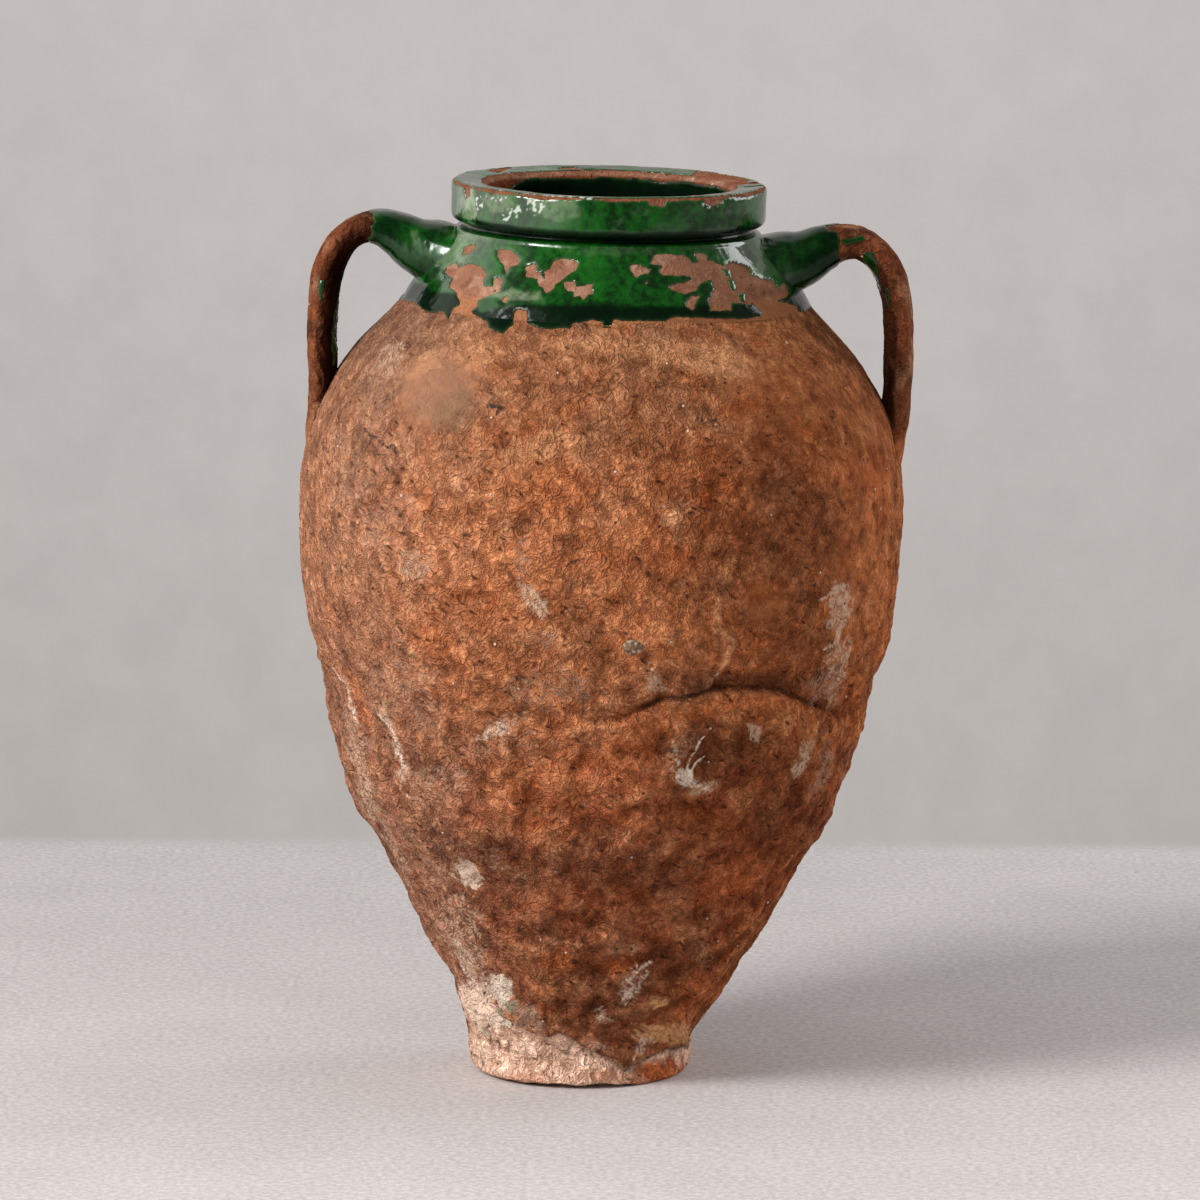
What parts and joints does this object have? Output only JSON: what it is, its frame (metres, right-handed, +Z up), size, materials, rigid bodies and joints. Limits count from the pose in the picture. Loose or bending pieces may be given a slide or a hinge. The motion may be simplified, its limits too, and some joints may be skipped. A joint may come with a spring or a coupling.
{
  "type": "olive jar",
  "caption": "Tall clay storage jar with a narrow foot, wide shoulder, two strap handles, a heavy rim and worn green glaze on its neck, for olives or oil.",
  "frame": {"origin": "middle of the foot's underside, on the surface that the jar stands on", "axes": "+Z up, +X towards the right handle, -Y towards the side that the picture shows; the jar's own axis leans 1.4 degrees from +Z towards +X"},
  "size_m": [0.4225, 0.4152, 0.623],
  "materials": {
    "clay": "rough weathered terracotta",
    "glaze": "glossy lead glaze, worn and flaked",
    "grit": "rough"
  },
  "bodies": {
    "root": {"foot": "clay", "lower_wall": "clay", "belly_wall": "clay", "shoulder_wall": "clay", "neck": "clay", "rim": "clay", "left_handle": "clay", "right_handle": "clay", "left_handle_lute": "clay", "right_handle_lute": "clay", "rim_glaze": "glaze", "neck_glaze": "glaze", "mouth_glaze": "glaze", "left_handle_glaze": "glaze", "right_handle_glaze": "glaze", "wall_pebble": "grit"}
  },
  "joints": []
}
